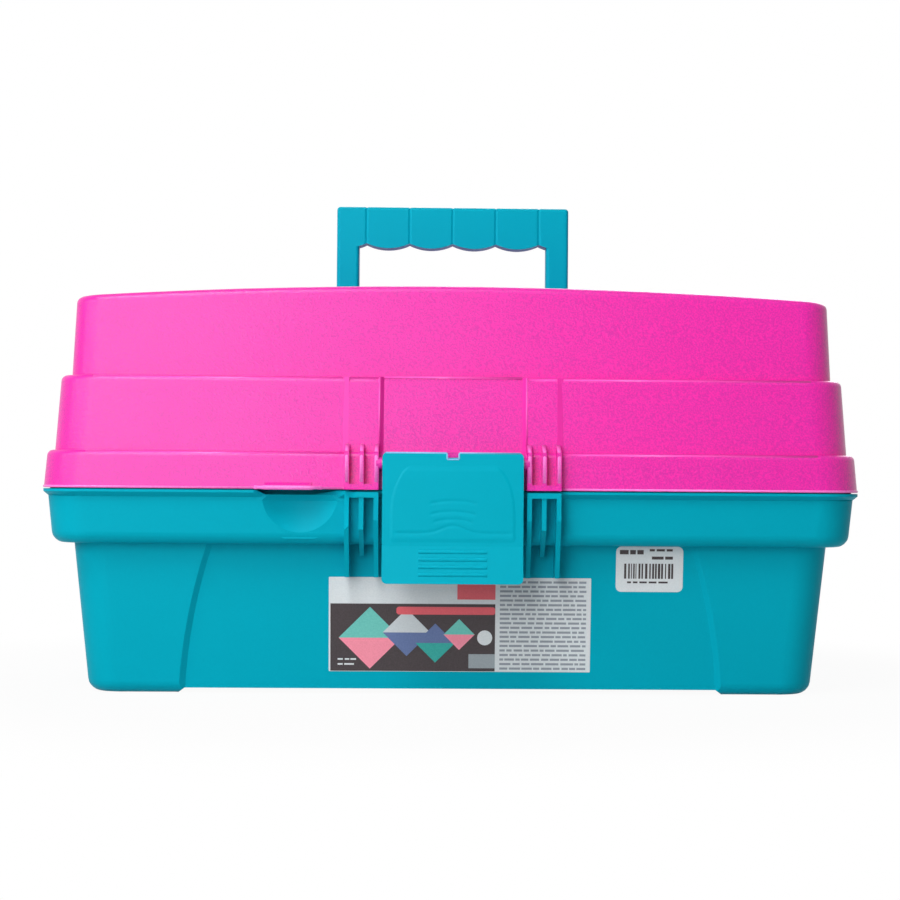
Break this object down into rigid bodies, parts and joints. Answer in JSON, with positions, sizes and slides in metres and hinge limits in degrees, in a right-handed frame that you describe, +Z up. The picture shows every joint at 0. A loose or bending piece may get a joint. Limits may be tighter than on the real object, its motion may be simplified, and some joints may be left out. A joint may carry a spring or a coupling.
{
  "type": "tool box with handle",
  "caption": "Stepped plastic tool box with a folding top handle, a front latch and two cantilever trays that rise with the lid.",
  "frame": {"origin": "on the floor under the middle of the box", "axes": "+X along the box to the viewer's right, +Y from the latch to the hinges, +Z up"},
  "size_m": [0.355, 0.2144, 0.2222],
  "materials": {
    "pink_lid_plastic": "moulded polypropylene, bright pink, fine spark texture",
    "pink_arm_plastic": "moulded polypropylene, pink, smooth",
    "turquoise_tub_plastic": "moulded polypropylene, turquoise, satin",
    "turquoise_tray_plastic": "moulded polypropylene, turquoise, satin",
    "turquoise_latch_plastic": "moulded polypropylene, turquoise, satin",
    "turquoise_handle_plastic": "moulded polypropylene, turquoise, satin",
    "plated_steel": "zinc-plated steel"
  },
  "bodies": {
    "base": {"base_tub": "turquoise_tub_plastic", "hinge_pin_left": "plated_steel", "hinge_pin_right": "plated_steel", "box_rivet_rear_left": "plated_steel", "box_rivet_rear_right": "plated_steel", "box_rivet_front_left": "plated_steel", "box_rivet_front_right": "plated_steel"},
    "lid": {"lid": "pink_lid_plastic", "latch_pin": "plated_steel", "handle_pin_left": "plated_steel", "handle_pin_right": "plated_steel", "link_rivet_lid_left": "plated_steel", "link_rivet_lid_right": "plated_steel"},
    "latch": {"latch": "turquoise_latch_plastic"},
    "handle": {"handle": "turquoise_handle_plastic"},
    "rear_arms": {"rear_arm_left": "pink_arm_plastic", "rear_arm_right": "pink_arm_plastic", "link_rivet_arm_left": "plated_steel", "link_rivet_arm_right": "plated_steel"},
    "front_arms": {"front_arm_left": "pink_arm_plastic", "front_arm_right": "pink_arm_plastic"},
    "lower_tray": {"lower_tray": "turquoise_tray_plastic", "lower_rivet_rear_left": "plated_steel", "lower_rivet_rear_right": "plated_steel", "lower_rivet_front_left": "plated_steel", "lower_rivet_front_right": "plated_steel", "lower_divider_long": "turquoise_tray_plastic", "lower_divider_front_1": "turquoise_tray_plastic", "lower_divider_front_2": "turquoise_tray_plastic", "lower_divider_front_3": "turquoise_tray_plastic"},
    "upper_tray": {"upper_tray": "turquoise_tray_plastic", "upper_rivet_rear_left": "plated_steel", "upper_rivet_rear_right": "plated_steel", "upper_rivet_front_left": "plated_steel", "upper_rivet_front_right": "plated_steel", "upper_divider_long": "turquoise_tray_plastic", "upper_divider_front_1": "turquoise_tray_plastic", "upper_divider_front_2": "turquoise_tray_plastic", "upper_divider_front_3": "turquoise_tray_plastic", "upper_divider_front_4": "turquoise_tray_plastic", "upper_divider_back_1": "turquoise_tray_plastic", "upper_divider_back_2": "turquoise_tray_plastic"},
    "lid_links": {"lid_link_left": "pink_arm_plastic", "lid_link_right": "pink_arm_plastic"}
  },
  "joints": [
    {"name": "lid_hinge", "type": "hinge", "parent": "base", "child": "lid", "pos_m": [0, 0.0975, 0.089], "axis": [-1, 0, 0], "range_deg": [0, 100]},
    {"name": "rear_arm_turn", "type": "hinge", "parent": "base", "child": "rear_arms", "pos_m": [0, 0.07, 0.0808], "axis": [-1, 0, 0], "range_deg": [0, 100]},
    {"name": "front_arm_turn", "type": "hinge", "parent": "base", "child": "front_arms", "pos_m": [0, 0.008, 0.0808], "axis": [-1, 0, 0], "range_deg": [0, 100]},
    {"name": "lower_tray_turn", "type": "hinge", "parent": "rear_arms", "child": "lower_tray", "pos_m": [0, 0.0208, 0.0851], "axis": [-1, 0, 0], "range_deg": [-100, 0]},
    {"name": "upper_tray_turn", "type": "hinge", "parent": "rear_arms", "child": "upper_tray", "pos_m": [0, -0.015, 0.1108], "axis": [-1, 0, 0], "range_deg": [-100, 0]},
    {"name": "link_turn", "type": "hinge", "parent": "lid", "child": "lid_links", "pos_m": [0, 0.0305, 0.106], "axis": [-1, 0, 0], "range_deg": [-100, 0]},
    {"name": "latch_swing", "type": "hinge", "parent": "lid", "child": "latch", "pos_m": [0, -0.0994, 0.1006], "axis": [-1, 0, 0], "range_deg": [0, 80]},
    {"name": "handle_fold", "type": "hinge", "parent": "lid", "child": "handle", "pos_m": [0, 0, 0.1713], "axis": [1, 0, 0], "range_deg": [0, 90]}
  ],
  "couplings": [
    {"joint": "rear_arm_turn", "follows": "lid_hinge", "ratio": 1},
    {"joint": "front_arm_turn", "follows": "lid_hinge", "ratio": 1},
    {"joint": "lower_tray_turn", "follows": "lid_hinge", "ratio": -1},
    {"joint": "upper_tray_turn", "follows": "lid_hinge", "ratio": -1},
    {"joint": "link_turn", "follows": "lid_hinge", "ratio": -1}
  ]
}
